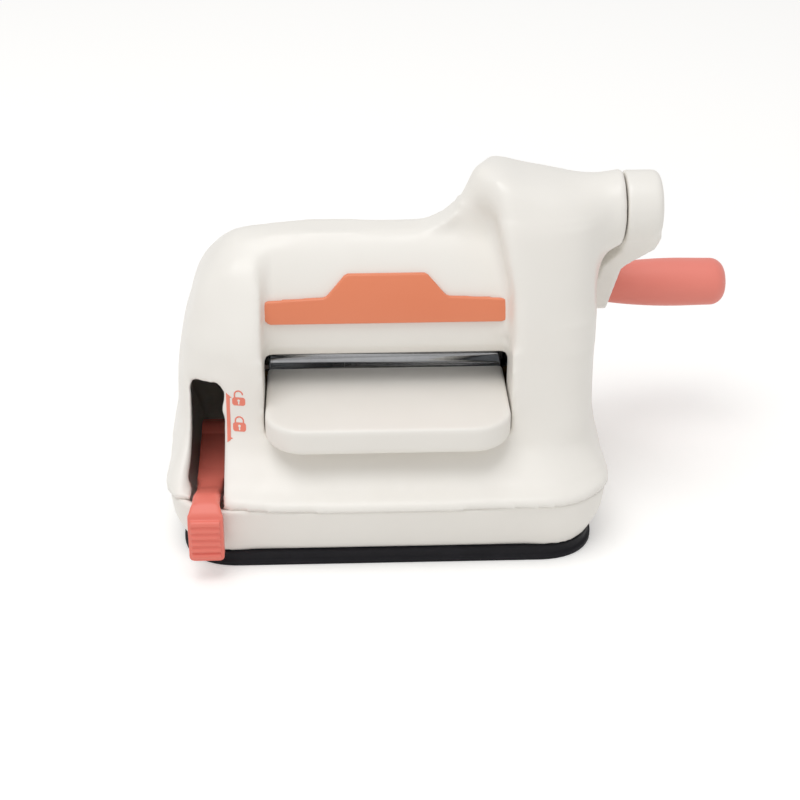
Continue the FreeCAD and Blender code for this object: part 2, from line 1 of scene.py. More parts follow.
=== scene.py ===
import json
import math
import bpy
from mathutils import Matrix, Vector


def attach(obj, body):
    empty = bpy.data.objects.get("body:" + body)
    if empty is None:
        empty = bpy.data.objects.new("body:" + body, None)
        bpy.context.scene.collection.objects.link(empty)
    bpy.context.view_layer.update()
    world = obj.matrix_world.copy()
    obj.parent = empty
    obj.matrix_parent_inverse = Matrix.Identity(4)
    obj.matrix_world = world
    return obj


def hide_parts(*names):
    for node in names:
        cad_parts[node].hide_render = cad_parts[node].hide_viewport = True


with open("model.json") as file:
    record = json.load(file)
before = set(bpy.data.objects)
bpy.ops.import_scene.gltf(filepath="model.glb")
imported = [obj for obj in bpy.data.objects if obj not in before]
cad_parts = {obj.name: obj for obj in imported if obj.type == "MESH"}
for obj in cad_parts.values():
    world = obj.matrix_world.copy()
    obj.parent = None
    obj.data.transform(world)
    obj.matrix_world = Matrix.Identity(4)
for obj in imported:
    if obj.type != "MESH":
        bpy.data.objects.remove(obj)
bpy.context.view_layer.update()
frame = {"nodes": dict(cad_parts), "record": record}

mm = 0.001


# small helpers for working in object and edit mode
def deselectAll():
    bpy.ops.object.select_all(action="DESELECT")


def makeActive(piece):
    deselectAll()
    piece.select_set(True)
    bpy.context.view_layer.objects.active = piece


def applyModifier(piece, kind, **settings):
    makeActive(piece)
    modifier = piece.modifiers.new(kind.lower(), kind)
    for key, value in settings.items():
        setattr(modifier, key, value)
    bpy.ops.object.modifier_apply(modifier=modifier.name)


def selectIn(piece, mode, test):
    # edit mode with only the vertices, edges or faces that pass the test selected
    makeActive(piece)
    bpy.ops.object.mode_set(mode="EDIT")
    bpy.ops.mesh.select_mode(type=mode)
    bpy.ops.mesh.select_all(action="DESELECT")
    bpy.ops.object.mode_set(mode="OBJECT")
    mesh = piece.data
    for part in {"VERT": mesh.vertices, "EDGE": mesh.edges, "FACE": mesh.polygons}[mode]:
        if mode == "VERT":
            part.select = test(part.co)
        elif mode == "EDGE":
            part.select = test(*[mesh.vertices[i].co for i in part.vertices])
        else:
            part.select = test(part.center, part.normal)
    bpy.ops.object.mode_set(mode="EDIT")


def leaveEdit():
    bpy.ops.object.mode_set(mode="OBJECT")


def settle(piece, name, body, material):
    makeActive(piece)
    bpy.ops.object.transform_apply(location=True, rotation=True, scale=True)
    piece.name = name
    piece.data.name = name
    piece.data.materials.clear()
    piece.data.materials.append(material)
    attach(piece, body)


def mergedCopy(nodeName):
    # own copy of a solid's mesh, its loose triangles welded
    node = frame["nodes"][nodeName]
    piece = node.copy()
    piece.data = node.data.copy()
    for key in list(piece.keys()):
        del piece[key]
    piece.parent = None
    bpy.context.scene.collection.objects.link(piece)
    makeActive(piece)
    bpy.ops.object.mode_set(mode="EDIT")
    bpy.ops.mesh.select_all(action="SELECT")
    bpy.ops.mesh.remove_doubles(threshold=0.002 * mm)
    leaveEdit()
    return piece


# materials
def linear(hexColour):
    channels = [int(hexColour[i:i + 2], 16) / 255 for i in (1, 3, 5)]
    curve = [c / 12.92 if c <= 0.04045 else ((c + 0.055) / 1.055) ** 2.4 for c in channels]
    return (*curve, 1.0)


def newMaterial(name):
    material = bpy.data.materials.new(name)
    material.use_nodes = True
    material.node_tree.nodes.clear()
    return material


def addNode(material, kind, values=None, links=None, **settings):
    node = material.node_tree.nodes.new(kind)
    for key, value in settings.items():
        setattr(node, key, value)
    for socket, value in (values or {}).items():
        node.inputs[socket].default_value = value
    for socket, source in (links or {}).items():
        material.node_tree.links.new(source, node.inputs[socket])
    return node


def perMetre(sizeMm):
    return 1 / (sizeMm * mm)


def mouldedAbs(name, colour, shade, worn, gloss, grainMm=0.5, sheen=0.0):
    # injection-moulded ABS: satin skin off an etched tool, slow flow shading, edges rubbed a little lighter
    material = newMaterial(name)
    place = addNode(material, "ShaderNodeTexCoord").outputs["Object"]
    flow = addNode(material, "ShaderNodeTexNoise", {"Scale": perMetre(22), "Detail": 2.0}, {"Vector": place})
    grain = addNode(
        material, "ShaderNodeTexNoise", {"Scale": perMetre(grainMm), "Detail": 2.0}, {"Vector": place}
    )
    rub = addNode(material, "ShaderNodeTexNoise", {"Scale": perMetre(5), "Detail": 4.0}, {"Vector": place})
    edge = addNode(material, "ShaderNodeNewGeometry").outputs["Pointiness"]
    edgeShare = addNode(material, "ShaderNodeMapRange", {1: 0.53, 2: 0.62, 3: 0.0, 4: 0.5}, {0: edge})
    rubbed = addNode(
        material, "ShaderNodeMath", {}, {0: edgeShare.outputs[0], 1: rub.outputs[0]}, operation="MULTIPLY"
    )
    tint = addNode(
        material, "ShaderNodeMix", {6: linear(colour), 7: linear(shade)}, {0: flow.outputs[0]},
        data_type="RGBA",
    )
    body = addNode(
        material, "ShaderNodeMix", {7: linear(worn)}, {0: rubbed.outputs[0], 6: tint.outputs[2]},
        data_type="RGBA",
    )
    rough = addNode(
        material, "ShaderNodeMapRange", {1: 0.3, 2: 0.7, 3: gloss - 0.04, 4: gloss + 0.06},
        {0: rub.outputs[0]},
    )
    bump = addNode(
        material, "ShaderNodeBump", {"Strength": 0.16, "Distance": 0.03 * mm}, {"Height": grain.outputs[0]}
    )
    surface = addNode(
        material,
        "ShaderNodeBsdfPrincipled",
        {"IOR": 1.53, "Sheen Weight": sheen},
        {"Base Color": body.outputs[2], "Roughness": rough.outputs[0], "Normal": bump.outputs[0]},
    )
    addNode(material, "ShaderNodeOutputMaterial", {}, {"Surface": surface.outputs[0]})
    return material


def suctionRubber(name, colour, dust):
    # moulded nitrile rubber: near-black, dry, with pale dust held in a fine pebble
    material = newMaterial(name)
    place = addNode(material, "ShaderNodeTexCoord").outputs["Object"]
    pebble = addNode(material, "ShaderNodeTexVoronoi", {"Scale": perMetre(0.7)}, {"Vector": place})
    bloom = addNode(material, "ShaderNodeTexNoise", {"Scale": perMetre(9), "Detail": 5.0}, {"Vector": place})
    held = addNode(material, "ShaderNodeMapRange", {1: 0.5, 2: 0.85, 3: 0.0, 4: 0.35}, {0: bloom.outputs[0]})
    tint = addNode(
        material, "ShaderNodeMix", {6: linear(colour), 7: linear(dust)}, {0: held.outputs[0]},
        data_type="RGBA",
    )
    rough = addNode(material, "ShaderNodeMapRange", {1: 0.2, 2: 0.8, 3: 0.52, 4: 0.72}, {0: bloom.outputs[0]})
    bump = addNode(
        material, "ShaderNodeBump", {"Strength": 0.25, "Distance": 0.06 * mm}, {"Height": pebble.outputs[0]}
    )
    surface = addNode(
        material,
        "ShaderNodeBsdfPrincipled",
        {"IOR": 1.52, "Specular IOR Level": 0.22},
        {"Base Color": tint.outputs[2], "Roughness": rough.outputs[0], "Normal": bump.outputs[0]},
    )
    addNode(material, "ShaderNodeOutputMaterial", {}, {"Surface": surface.outputs[0]})
    return material


def groundSteel(name, colour, tarnish, gloss, lineMm, alongX=True):
    # ground steel: fine lines left by the wheel, drawn coarser than real so that they show
    material = newMaterial(name)
    place = addNode(material, "ShaderNodeTexCoord").outputs["Object"]
    if alongX:
        stretch = (perMetre(lineMm), perMetre(14), perMetre(14))
    else:
        stretch = (perMetre(9), perMetre(9), perMetre(lineMm))
    drawn = addNode(material, "ShaderNodeMapping", {"Scale": stretch}, {"Vector": place})
    lines = addNode(
        material, "ShaderNodeTexNoise", {"Scale": 1.0, "Detail": 3.0}, {"Vector": drawn.outputs[0]}
    )
    cloud = addNode(material, "ShaderNodeTexNoise", {"Scale": perMetre(12), "Detail": 4.0}, {"Vector": place})
    tint = addNode(
        material, "ShaderNodeMix", {6: linear(colour), 7: linear(tarnish)}, {0: cloud.outputs[0]},
        data_type="RGBA",
    )
    rough = addNode(
        material, "ShaderNodeMapRange", {1: 0.25, 2: 0.75, 3: gloss - 0.06, 4: gloss + 0.08},
        {0: lines.outputs[0]},
    )
    bump = addNode(
        material, "ShaderNodeBump", {"Strength": 0.2, "Distance": 0.01 * mm}, {"Height": lines.outputs[0]}
    )
    surface = addNode(
        material,
        "ShaderNodeBsdfPrincipled",
        {"Metallic": 1.0},
        {"Base Color": tint.outputs[2], "Roughness": rough.outputs[0], "Normal": bump.outputs[0]},
    )
    addNode(material, "ShaderNodeOutputMaterial", {}, {"Surface": surface.outputs[0]})
    return material


whiteAbs = mouldedAbs("warmWhiteAbs", "#f2efe9", "#eeeae3", "#f8f6f2", 0.36)
trimAbs = mouldedAbs("orangeTrimAbs", "#e98a64", "#e5825b", "#f0a482", 0.34)
leverAbs = mouldedAbs("coralLeverAbs", "#ef8070", "#ea7566", "#f5a294", 0.42)
gripElastomer = mouldedAbs("coralSoftTouchGrip", "#ef897a", "#eb8072", "#f4a699", 0.54, 0.35, 0.2)
signInk = mouldedAbs("coralPadPrintedInk", "#ef8873", "#eb806b", "#f29c8a", 0.50, 0.3)
padRubber = suctionRubber("blackSuctionRubber", "#131217", "#333236")
rollerSteel = groundSteel("groundRollerSteel", "#d9dadc", "#c6c7ca", 0.20, 0.6)
gearSteel = groundSteel("machinedGearSteel", "#b9b9bb", "#97989b", 0.34, 0.3)
plateSteel = groundSteel("zincPlatedSheetSteel", "#b4b7ba", "#8f9397", 0.38, 0.4, False)
bushBronze = groundSteel("sinteredBronze", "#b98d4c", "#8d6a38", 0.42, 0.3)
nylonGrey = mouldedAbs("greyNylon", "#56575b", "#4c4d51", "#6d6e72", 0.48)
print("materials made")


# shells: the solids' own shapes with the soft edges of moulded plastic
shells = {
    "top_housing": dict(
        name="housingShell", body="housing", material=whiteAbs, slot="white_abs",
        voxel=1.0, rounds=9,
    ),
    "base_tray": dict(
        name="trayShell", body="housing", material=whiteAbs, slot="white_abs",
        voxel=0.8, rounds=3,
    ),
    "front_platform": dict(
        name="frontShelf", body="housing", material=whiteAbs, slot="white_abs",
        voxel=0.7, rounds=4,
    ),
    "rear_platform": dict(
        name="rearShelf", body="housing", material=whiteAbs, slot="white_abs",
        voxel=0.7, rounds=4,
    ),
    "crank_arm": dict(
        name="crankArmShell", body="crank", material=whiteAbs, slot="white_abs",
        voxel=0.6, rounds=6,
    ),
    "front_trim": dict(
        name="trimPlate", body="housing", material=trimAbs, slot="orange_trim",
        voxel=0.35, rounds=3,
    ),
}


def makeNose():
    # sleeve that widens from the round crank hub into the tower's flank, open inside
    size = dict(rootX=54, endX=72.6, rootRadius=15.5, endRadius=11.2, rootZ=92.6, endZ=97.0, wall=2.0)
    length = (size["endX"] - size["rootX"]) * mm
    deselectAll()
    bpy.ops.mesh.primitive_cylinder_add(
        vertices=64, radius=size["rootRadius"] * mm, depth=length, end_fill_type="NOTHING",
        location=(size["rootX"] * mm + length / 2, 0, size["rootZ"] * mm), rotation=(0, math.radians(90), 0),
    )
    nose = bpy.context.object
    bpy.ops.object.transform_apply(location=True, rotation=True, scale=True)
    selectIn(nose, "VERT", lambda co: co.x > (size["endX"] - 1) * mm)
    share = size["endRadius"] / size["rootRadius"]
    bpy.ops.transform.resize(
        value=(1, share, share), center_override=(size["endX"] * mm, 0, size["rootZ"] * mm)
    )
    bpy.ops.transform.translate(value=(0, 0, (size["endZ"] - size["rootZ"]) * mm))
    leaveEdit()
    applyModifier(nose, "SOLIDIFY", thickness=size["wall"] * mm, offset=-1)
    return nose


# how the shells depart from the plain solids, all in millimetres; far lies outside the machine
far = 200
deckCorner = dict(x=57.5, y=44, radius=6, outX=3.6, outY=2.8)
leverSlot = dict(x=(-61.2, -48.8), y=(-far, -6), z=(-far, 58))
slotWalls = dict(x=(-61.3, -48.5), y=(-far, -12), z=(-far, 58))
slotRim = dict(x=(-63, -47.5), y=(-far, -6))
hubEnd = dict(x=73.7, z=97, rim=72, low=80, swell=1.035, reach=5)
seam = dict(z=20.5, lip=(19.6, 21.3))


def within(co, **spans):
    # whether a point lies inside every span given along x, y or z
    return all(low * mm < getattr(co, axis) < high * mm for axis, (low, high) in spans.items())


def inSlot(co, **spans):
    return within(co, **leverSlot) and within(co, **spans)


def besideSlot(co):
    return within(co, **slotWalls)


def ease(piece, rounds, test):
    # rubs down the part of a skin that passes the test
    selectIn(piece, "VERT", test)
    bpy.ops.mesh.vertices_smooth(factor=0.5, repeat=rounds)
    leaveEdit()


def pull(piece, test, move, reach, held=None, linked=False):
    # draws a patch of skin along, fading out over the reach; held skin is hidden, so it stays
    if held:
        selectIn(piece, "VERT", held)
        bpy.ops.mesh.hide(unselected=False)
        leaveEdit()
    selectIn(piece, "VERT", lambda co: test(co) and not (held and held(co)))
    bpy.ops.transform.translate(
        value=[m * mm for m in move], use_proportional_edit=True, use_proportional_connected=linked,
        proportional_edit_falloff="SMOOTH", proportional_size=reach * mm,
    )
    bpy.ops.mesh.reveal(select=False)
    leaveEdit()


def squareCorners(piece, heights, reach, held=None):
    # deck and tray have tighter corners in plan than their oval outline gives
    for sideX in (-1, 1):
        for sideY in (-1, 1):
            def atCorner(co):
                offX = co.x * sideX - deckCorner["x"] * mm
                offY = co.y * sideY - deckCorner["y"] * mm
                return math.hypot(offX, offY) < deckCorner["radius"] * mm and within(co, z=heights)
            pull(piece, atCorner, (0, deckCorner["outY"] * sideY, 0), reach)
            pull(piece, atCorner, (deckCorner["outX"] * sideX, 0, 0), reach, held)


def shapeSlot(piece):
    # lever slot: top lowered and levelled, right side drawn in, rim rubbed round
    pull(piece, lambda co: inSlot(co, z=(53, 58)), (0, 0, -3.6), 5)
    pull(piece, lambda co: inSlot(co, x=(-far, -56), z=(48, far)), (0, 0, -2), 9)
    pull(piece, lambda co: inSlot(co, x=(-51, far), z=(-far, 54)), (-1.2, 0, 0), 4)
    ease(piece, 16, lambda co: within(co, z=(45, 60), **slotRim))
    ease(piece, 6, lambda co: within(co, z=(22, 50), **slotRim))
    pull(piece, lambda co: inSlot(co, x=(-52, far), z=(44, 53)), (-0.7, 0, 0), 4)


def softenTower(piece):
    # the roof flows into the crank nose, and the hollowed front has soft borders
    ease(piece, 140, lambda co: within(co, x=(46, 71.5), z=(70, far)))
    ease(piece, 60, lambda co: within(co, x=(24, 71), z=(98, far)))
    ease(piece, 40, lambda co: within(co, x=(22, 50), z=(62, far)) and abs(co.y) > 4 * mm)
    ease(piece, 90, lambda co: within(co, x=(44, far), z=(26, 60)))
    ease(piece, 14, lambda co: within(co, x=(-46, -36), z=(60, far)))


def shapeTower(piece):
    # peak drawn left, roof line dipping to the hub, crisp end on the hub
    pull(piece, lambda co: within(co, x=(-far, 31), z=(103.5, far)), (-2.2, 0, -0.9), 9)
    pull(piece, lambda co: within(co, x=(43, 58), z=(106.5, far)), (0, 0, -2), 13)
    ease(piece, 25, lambda co: within(co, x=(18, 68), z=(100, far)))
    selectIn(piece, "VERT", lambda co: within(co, x=(hubEnd["rim"], far), z=(hubEnd["low"], far)))
    bpy.ops.transform.resize(
        value=(1, hubEnd["swell"], hubEnd["swell"]), center_override=(hubEnd["x"] * mm, 0, hubEnd["z"] * mm),
        use_proportional_edit=True, proportional_edit_falloff="SMOOTH",
        proportional_size=hubEnd["reach"] * mm,
    )
    leaveEdit()


def straightenSeam(piece):
    # the lip over the tray lies in one plane
    selectIn(piece, "VERT", lambda co: within(co, z=seam["lip"]))
    bpy.ops.transform.resize(value=(1, 1, 0), center_override=(0, 0, seam["z"] * mm))
    leaveEdit()


def sculptHousing(piece):
    squareCorners(piece, (19.5, 26), 22, besideSlot)
    ease(piece, 12, lambda co: within(co, x=(-far, -59.5), y=(-far, -10), z=(22, 52)))
    pull(
        piece, lambda co: within(co, x=(-far, -49), y=(-12, 12), z=(78, 86)), (-1.6, 0, 1.2), 16, linked=True
    )
    shapeSlot(piece)
    softenTower(piece)
    shapeTower(piece)
    straightenSeam(piece)


def sculptTray(piece):
    squareCorners(piece, (13.5, 21), 15)
    ease(piece, 8, lambda co: within(co, z=(5.5, 14)) and abs(co.x) > 40 * mm and abs(co.y) > 30 * mm)


sculpting = {"top_housing": sculptHousing, "base_tray": sculptTray}


def makeShell(nodeName, setting):
    piece = mergedCopy(nodeName)
    if nodeName == "top_housing":
        nose = makeNose()
        makeActive(piece)
        nose.select_set(True)
        bpy.ops.object.join()
    applyModifier(piece, "REMESH", mode="VOXEL", voxel_size=setting["voxel"] * mm, use_smooth_shade=True)
    applyModifier(piece, "SMOOTH", factor=0.5, iterations=setting["rounds"])
    if nodeName in sculpting:
        sculpting[nodeName](piece)
    settle(piece, setting["name"], setting["body"], setting["material"])
    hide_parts(nodeName)
    bpy.ops.object.shade_smooth()
    print("shell", setting["name"], len(piece.data.polygons), "faces")
    return piece


shell = {nodeName: makeShell(nodeName, setting) for nodeName, setting in shells.items()}


# suction lever: arm that dips into its slot, round elbow, ridged thumb pad
lever = dict(
    x=-55.6, width=8.6, padWidth=10.6, padCorner=1.6, hub=6.4, hubZ=15, voxel=0.28, rounds=2,
    ridges=6, ridge=0.95, ridgeLow=9.2, ridgePitch=2.3, ridgeY=-57.5, ridgeInset=1.8,
    top=((4, 20.5), (-8, 19.5), (-22, 18), (-34, 18.6), (-42, 22.6), (-48, 25.6), (-53, 25.6), (-56.4, 23.2),
         (-57.4, 19.5), (-57.4, 13), (-57.1, 6.9)),
    under=((4, 9.5), (-8, 10), (-22, 11.5), (-35, 13), (-42.4, 18.4), (-48, 21.6), (-51.6, 21.4), (-53.4, 20),
           (-53.6, 18.5), (-53.6, 13), (-53.9, 6.9)),
)


def meets(a, b):
    return (a - b).length < 0.01 * mm


def placeCorner(strip, found, place):
    selectIn(strip, "VERT", lambda co: meets(co, found))
    bpy.ops.transform.translate(value=place - found)
    leaveEdit()


def makeLever(setting):
    def spot(pair):
        return Vector((setting["x"] * mm, pair[0] * mm, pair[1] * mm))

    tops = [spot(pair) for pair in setting["top"]]
    unders = [spot(pair) for pair in setting["under"]]
    deselectAll()
    bpy.ops.mesh.primitive_plane_add(size=4 * mm, location=(0, 0, 0.2), rotation=(0, math.radians(90), 0))
    strip = bpy.context.object
    bpy.ops.object.transform_apply(location=True, rotation=True, scale=True)
    for found, place in zip(
        [(0.002, 0.202), (0.002, 0.198), (-0.002, 0.202), (-0.002, 0.198)],
        [tops[0], unders[0], tops[1], unders[1]],
    ):
        placeCorner(strip, Vector((0, *found)), place)
    for i in range(1, len(tops) - 1):
        ends = (tops[i], unders[i])
        selectIn(strip, "EDGE", lambda *pair: all(any(meets(co, end) for end in ends) for co in pair))
        shift = tops[i + 1] - tops[i]
        bpy.ops.mesh.extrude_edges_move(TRANSFORM_OT_translate={"value": shift})
        leaveEdit()
        placeCorner(strip, unders[i] + shift, unders[i + 1])
    applyModifier(strip, "SOLIDIFY", thickness=setting["width"] * mm, offset=0)
    selectIn(strip, "VERT", lambda co: within(co, y=(-far, -52.5), z=(-far, 24)))
    wider = setting["padWidth"] / setting["width"]
    bpy.ops.transform.resize(value=(wider, 1, 1), center_override=(setting["x"] * mm, 0, 0))
    leaveEdit()
    selectIn(strip, "EDGE", lambda a, b: max(a.z, b.z) < 7.2 * mm and abs(a.x - b.x) < 0.01 * mm)
    bpy.ops.mesh.bevel(offset=setting["padCorner"] * mm, segments=5)
    leaveEdit()
    roundBars = [(0, setting["hubZ"], setting["hub"], setting["width"])]
    for i in range(setting["ridges"]):
        z = setting["ridgeLow"] + i * setting["ridgePitch"]
        ridgeLength = setting["padWidth"] - setting["ridgeInset"]
        roundBars.append((setting["ridgeY"], z, setting["ridge"], ridgeLength))
    bars = []
    for y, z, radius, length in roundBars:
        deselectAll()
        bpy.ops.mesh.primitive_cylinder_add(
            vertices=32, radius=radius * mm, depth=length * mm, location=(setting["x"] * mm, y * mm, z * mm),
            rotation=(0, math.radians(90), 0),
        )
        bpy.ops.object.transform_apply(location=True, rotation=True, scale=True)
        bars.append(bpy.context.object)
    makeActive(strip)
    for bar in bars:
        bar.select_set(True)
    bpy.ops.object.join()
    applyModifier(strip, "REMESH", mode="VOXEL", voxel_size=setting["voxel"] * mm, use_smooth_shade=True)
    applyModifier(strip, "SMOOTH", factor=0.5, iterations=setting["rounds"])
    ease(strip, 110, lambda co: within(co, y=(-53.5, -28), z=(12, far)))
    ease(strip, 30, lambda co: within(co, y=(-far, -50), z=(22.8, far)))
    return strip


thumbLever = makeLever(lever)
settle(thumbLever, "thumbLever", "lever", leverAbs)
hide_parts("suction_lever")
bpy.ops.object.shade_smooth()
print("lever made", len(thumbLever.data.polygons), "faces")


# printed signs beside the lever slot: open and closed padlock, travel mark
signs = dict(
    x=-45.6, openZ=47.2, closedZ=39.0, bodyWidth=4.0, bodyHeight=2.7, corner=0.8, ring=1.45, bar=0.42,
    leg=0.9, eye=0.8, eyeCorner=0.38, eyeRise=0.3, slit=0.42, slitHeight=1.1, slitCorner=0.15, slitDrop=0.4,
    markX=-48.9, markLow=34.4, markHigh=49.6, markWidth=1.1, tipX=0.6, tipZ=6.4, tipHeight=0.9, ink=0.07,
)
signY = -62 * mm


def flatPlate(x, z, width, height, corner):
    deselectAll()
    bpy.ops.mesh.primitive_plane_add(
        size=1, location=(x * mm, signY, z * mm), rotation=(math.radians(90), 0, 0)
    )
    plate = bpy.context.object
    plate.scale = (width * mm, height * mm, 1)
    bpy.ops.object.transform_apply(location=True, rotation=True, scale=True)
    if corner:
        selectIn(plate, "VERT", lambda co: True)
        bpy.ops.mesh.bevel(offset=corner * mm, segments=5, affect="VERTICES")
        leaveEdit()
    return plate


def shackle(x, z, setting, openSide):
    deselectAll()
    bpy.ops.mesh.primitive_circle_add(
        vertices=40, radius=setting["ring"] * mm, fill_type="NGON", location=(x * mm, signY, z * mm),
        rotation=(math.radians(90), 0, 0),
    )
    ring = bpy.context.object
    bpy.ops.object.transform_apply(location=True, rotation=True, scale=True)
    selectIn(ring, "FACE", lambda centre, normal: True)
    bpy.ops.mesh.inset(thickness=setting["bar"] * mm)
    bpy.ops.mesh.delete(type="FACE")
    bpy.ops.mesh.select_all(action="SELECT")
    bpy.ops.mesh.bisect(plane_co=(x * mm, signY, (z + 0.01) * mm), plane_no=(0, 0, 1), clear_inner=True)
    leaveEdit()
    low = (z + 0.03) * mm
    selectIn(ring, "EDGE", lambda a, b: max(a.z, b.z) < low and not (openSide and a.x > x * mm))
    bpy.ops.mesh.extrude_edges_move(TRANSFORM_OT_translate={"value": (0, 0, -setting["leg"] * mm)})
    leaveEdit()
    return ring


def layOnHousing(parts, name, material, proud):
    # joins flat pieces, lays them on the housing's skin and gives them the ink's thickness
    makeActive(parts[0])
    for part in parts[1:]:
        part.select_set(True)
    bpy.ops.object.join()
    sign = bpy.context.object
    selectIn(sign, "FACE", lambda centre, normal: True)
    bpy.ops.mesh.quads_convert_to_tris()
    bpy.ops.mesh.subdivide(number_cuts=3)
    leaveEdit()
    applyModifier(
        sign, "SHRINKWRAP", wrap_method="PROJECT", use_project_y=True, use_positive_direction=True,
        use_negative_direction=False, target=shell["top_housing"], offset=proud * mm,
    )
    applyModifier(sign, "SOLIDIFY", thickness=signs["ink"] * mm, offset=1)
    settle(sign, name, "housing", material)
    return sign


def makeSigns(setting):
    inked, holes = [], []
    for z, isOpen in ((setting["openZ"], True), (setting["closedZ"], False)):
        inked.append(
            flatPlate(setting["x"], z, setting["bodyWidth"], setting["bodyHeight"], setting["corner"])
        )
        ringZ = z + setting["bodyHeight"] / 2 + setting["leg"] * (1.0 if isOpen else 0.6)
        inked.append(shackle(setting["x"], ringZ, setting, isOpen))
        eyeZ = z + setting["eyeRise"]
        holes.append(flatPlate(setting["x"], eyeZ, setting["eye"], setting["eye"], setting["eyeCorner"]))
        slitZ = z - setting["slitDrop"]
        holes.append(
            flatPlate(setting["x"], slitZ, setting["slit"], setting["slitHeight"], setting["slitCorner"])
        )
    middle = (setting["markLow"] + setting["markHigh"]) / 2
    markHeight = setting["markHigh"] - setting["markLow"]
    mark = flatPlate(setting["markX"], middle, setting["markWidth"], markHeight, 0)
    right = setting["markX"] * mm
    selectIn(mark, "VERT", lambda co: co.x > right)
    bpy.ops.transform.resize(value=(1, 1, 0.9), center_override=(right, signY, middle * mm))
    leaveEdit()
    for end in (1, -1):
        tipZ = middle + end * setting["tipZ"]
        tipX = setting["markX"] + setting["tipX"]
        tip = flatPlate(tipX, tipZ, setting["markWidth"], setting["tipHeight"], 0)
        selectIn(tip, "VERT", lambda co: co.x > tipX * mm)
        bpy.ops.transform.resize(value=(1, 1, 0.1), center_override=(right, signY, tipZ * mm))
        leaveEdit()
        inked.append(tip)
    inked.append(mark)
    layOnHousing(inked, "lockSigns", signInk, 0.02)
    layOnHousing(holes, "lockKeyholes", whiteAbs, 0.06)


makeSigns(signs)
print("signs printed")


# screws on the left frame, seen through the lever slot
screws = dict(
    face=-43.1, head=2.9, height=1.7, crown=0.9, socket=1.3, depth=0.9,
    places=((-14, 50), (14, 50), (-15, 26), (15, 26)),
)


def makeScrew(setting, y, z):
    deselectAll()
    x = (setting["face"] - setting["height"] / 2) * mm
    bpy.ops.mesh.primitive_cylinder_add(
        vertices=32, radius=setting["head"] * mm, depth=setting["height"] * mm, location=(x, y * mm, z * mm),
        rotation=(0, math.radians(-90), 0),
    )
    screw = bpy.context.object
    bpy.ops.object.transform_apply(location=True, rotation=True, scale=True)
    outer = (setting["face"] - setting["height"] + 0.05) * mm
    selectIn(screw, "EDGE", lambda a, b: max(a.x, b.x) < outer)
    bpy.ops.mesh.bevel(offset=setting["crown"] * mm, segments=4)
    leaveEdit()
    selectIn(screw, "FACE", lambda centre, normal: normal.x < -0.99)
    bpy.ops.mesh.inset(thickness=(setting["head"] - setting["crown"] - setting["socket"]) * mm)
    bpy.ops.mesh.extrude_region_move(TRANSFORM_OT_translate={"value": (setting["depth"] * mm, 0, 0)})
    leaveEdit()
    return screw


for number, (y, z) in enumerate(screws["places"]):
    screw = makeScrew(screws, y, z)
    settle(screw, "frameScrew%d" % (number + 1), "housing", plateSteel)
    bpy.ops.object.shade_smooth_by_angle(angle=math.radians(30))
print("screws", len(screws["places"]))


# turned and ground pieces that show: welded copies, smooth round the turn
turned = {
    "upper_roller": dict(
        name="upperRollerBar", body="upper_roller", material=rollerSteel, slot="roller_steel"
    ),
    "lower_roller": dict(
        name="lowerRollerBar", body="lower_roller", material=rollerSteel, slot="roller_steel"
    ),
    "handle_grip": dict(name="gripSleeve", body="grip", material=gripElastomer, slot="coral_grip"),
}
for nodeName, setting in turned.items():
    bar = mergedCopy(nodeName)
    settle(bar, setting["name"], setting["body"], setting["material"])
    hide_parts(nodeName)
    bpy.ops.object.shade_smooth_by_angle(angle=math.radians(35))
print("turned pieces", len(turned))


# suction pad: rubber slab with a lip that spreads on the table and a pocket for the stem plate
padSize = dict(
    width=128.6, depth=100.6, height=4.6, corner=19, edge=0.35, lipHeight=1.5, undercut=0.7, pocket=20, skin=2
)


def makePad(size):
    bpy.ops.mesh.primitive_cube_add(size=1, location=(0, 0, size["height"] * mm / 2))
    pad = bpy.context.object
    pad.scale = (size["width"] * mm, size["depth"] * mm, size["height"] * mm)
    bpy.ops.object.transform_apply(location=True, rotation=True, scale=True)
    selectIn(pad, "EDGE", lambda a, b: abs(a.z - b.z) > mm)
    bpy.ops.mesh.bevel(offset=size["corner"] * mm, segments=14, profile=0.56)
    leaveEdit()
    low = size["lipHeight"] * mm
    for height in (low, low + 0.4 * mm, (size["height"] - 0.5) * mm):
        selectIn(pad, "FACE", lambda centre, normal: True)
        bpy.ops.mesh.bisect(plane_co=(0, 0, height), plane_no=(0, 0, 1))
        leaveEdit()
    selectIn(pad, "VERT", lambda co: co.z > low + 0.2 * mm)
    shrink = (1 - 2 * size["undercut"] / size["width"], 1 - 2 * size["undercut"] / size["depth"], 1)
    bpy.ops.transform.resize(value=shrink, center_override=(0, 0, 0))
    leaveEdit()
    deselectAll()
    bpy.ops.mesh.primitive_cylinder_add(
        vertices=64, radius=size["pocket"] * mm, depth=0.01, location=(0, 0, size["skin"] * mm + 0.005)
    )
    pocket = bpy.context.object
    applyModifier(pad, "BOOLEAN", operation="DIFFERENCE", object=pocket, solver="EXACT")
    bpy.data.objects.remove(pocket)
    applyModifier(
        pad, "BEVEL", width=size["edge"] * mm, segments=3, limit_method="ANGLE", angle_limit=math.radians(40)
    )
    return pad


suctionPad = makePad(padSize)
settle(suctionPad, "suctionPadSlab", "housing", padRubber)
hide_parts("suction_pad")
bpy.ops.object.shade_smooth_by_angle(angle=math.radians(35))
print("pad made")


# inner works keep their solids and get their finishes
finishes = {
    "gear_steel": gearSteel,
    "plain_steel": plateSteel,
    "bush_brass": bushBronze,
    "grey_nylon": nylonGrey,
}
for part in frame["record"]["subparts"]:
    if part["material_slot"] in finishes:
        mesh = frame["nodes"][part["node"]].data
        mesh.materials.clear()
        mesh.materials.append(finishes[part["material_slot"]])
print("inner works finished")


